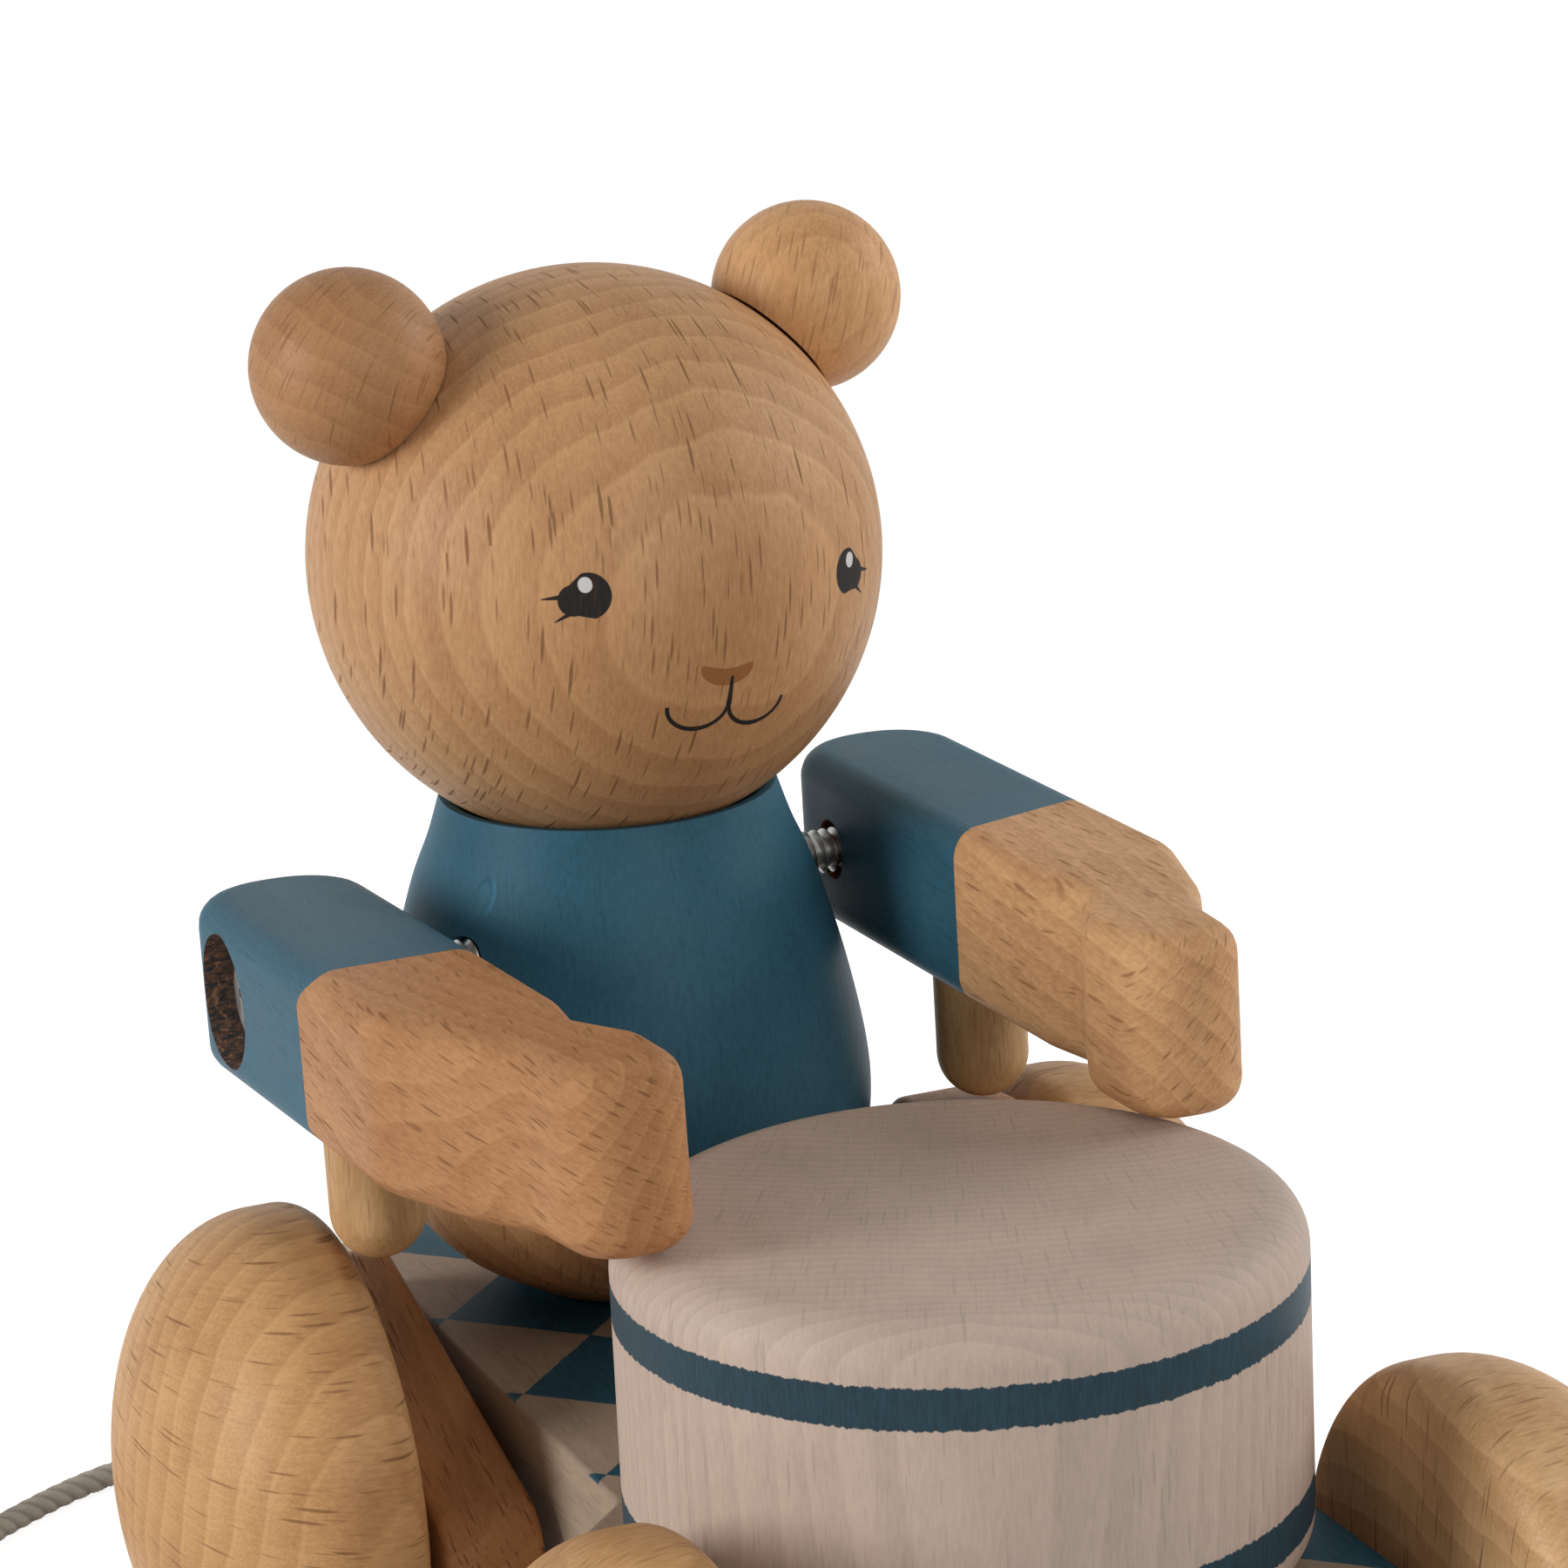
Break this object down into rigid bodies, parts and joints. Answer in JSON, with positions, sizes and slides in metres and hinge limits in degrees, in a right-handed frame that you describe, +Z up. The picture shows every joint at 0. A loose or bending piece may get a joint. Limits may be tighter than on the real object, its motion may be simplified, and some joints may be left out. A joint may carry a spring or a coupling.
{
  "type": "drumming bear pull toy",
  "caption": "Wooden pull toy: a seated bear on a four-wheeled board beats a drum with swinging arms that cams on the rear axle lift through pegs as it rolls.",
  "frame": {"origin": "on the floor under the centre of the toy's bounding box, the cord and what is on it left out", "axes": "+Z up, the bear faces -Y, +X is the bear's left"},
  "size_m": [0.169, 0.2035, 0.1494],
  "materials": {
    "beech": "satin natural beech",
    "blue_paint": "satin blue paint on beech",
    "beige_paint": "satin beige paint with a blue chequer on top",
    "greige_lacquer": "thin greige lacquer with two blue stripes",
    "steel": "bright zinc-plated steel",
    "cord": "twisted cotton cord"
  },
  "bodies": {
    "chassis": {"platform": "beige_paint", "body": "blue_paint", "head": "beech", "ear_left": "beech", "ear_right": "beech", "ear_dowel_left": "beech", "ear_dowel_right": "beech", "neck_dowel": "beech", "drum": "greige_lacquer", "body_screw": "steel", "drum_screw": "steel", "shoulder_screw_left": "steel", "shoulder_screw_right": "steel", "shoulder_washer_left": "steel", "shoulder_washer_right": "steel", "pull_cord": "cord", "cord_coil": "cord", "coil_tie": "steel", "pull_bead": "beech", "bead_knot": "cord"},
    "front_axle_set": {"axle_front": "beech", "wheel_front_left": "beech", "wheel_front_right": "beech"},
    "rear_axle_set": {"axle_rear": "beech", "wheel_rear_left": "beech", "wheel_rear_right": "beech", "cam_left": "beech", "cam_right": "beech"},
    "arm_right_set": {"arm_right": "blue_paint", "peg_right": "beech"},
    "arm_left_set": {"arm_left": "blue_paint", "peg_left": "beech"}
  },
  "joints": [
    {"name": "front_axle_roll", "type": "hinge", "parent": "chassis", "child": "front_axle_set", "pos_m": [0, -0.0572, 0.028], "axis": [1, 0, 0], "continuous": true},
    {"name": "rear_axle_roll", "type": "hinge", "parent": "chassis", "child": "rear_axle_set", "pos_m": [0, 0.0377, 0.028], "axis": [1, 0, 0], "continuous": true},
    {"name": "right_arm_lift", "type": "hinge", "parent": "chassis", "child": "arm_right_set", "pos_m": [-0.03695, 0.0461, 0.07699], "axis": [-1, 0, 0], "range_deg": [0, 35]},
    {"name": "left_arm_lift", "type": "hinge", "parent": "chassis", "child": "arm_left_set", "pos_m": [0.03435, 0.0554, 0.07956], "axis": [-1, 0, 0], "range_deg": [0, 35]}
  ]
}
